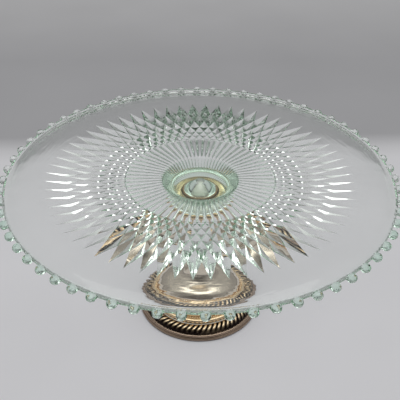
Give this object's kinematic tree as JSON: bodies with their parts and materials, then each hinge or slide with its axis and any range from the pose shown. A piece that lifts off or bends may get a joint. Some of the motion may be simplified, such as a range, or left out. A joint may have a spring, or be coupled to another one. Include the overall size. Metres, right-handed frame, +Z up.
{
  "type": "pedestal cake stand",
  "caption": "Round pressed-glass cake plate with a beaded rim and diamond star, turning and lifting off a silver-plated pedestal foot.",
  "frame": {"origin": "centre of the foot's underside, on the surface that the stand rests on", "axes": "+Z up along the pedestal's axis; -Y is the front; X to the right"},
  "size_m": [0.3118, 0.3118, 0.1293],
  "materials": {
    "glass": "clear pressed glass, green where thick",
    "silver_plate": "polished silver plate, warm tarnish",
    "cast_border": "cast and plated border, darkened in its hollows",
    "steel": "plain steel fittings",
    "cork": "pressed cork",
    "plaster": "cast plaster weight",
    "felt": "dark green baize"
  },
  "bodies": {
    "pedestal": {"locating_peg": "silver_plate", "plate_cup": "silver_plate", "cup_border": "cast_border", "stem": "silver_plate", "stem_knop": "silver_plate", "foot_dome": "silver_plate", "milled_ring": "cast_border", "gadroon_border": "cast_border", "foot_rim": "silver_plate", "tie_rod": "steel", "rod_washer": "steel", "rod_nut": "steel", "foot_filler": "plaster", "base_plate": "steel", "base_felt": "felt"},
    "seat": {"seat_cork": "cork"},
    "plate": {"glass_plate": "glass"}
  },
  "joints": [
    {"name": "plate_turn", "type": "hinge", "parent": "pedestal", "child": "seat", "pos_m": [0, 0, 0.097], "axis": [0, 0, 1], "continuous": true},
    {"name": "plate_lift", "type": "slide", "parent": "seat", "child": "plate", "axis": [0, 0, 1], "range_m": [0, 0.045]}
  ]
}
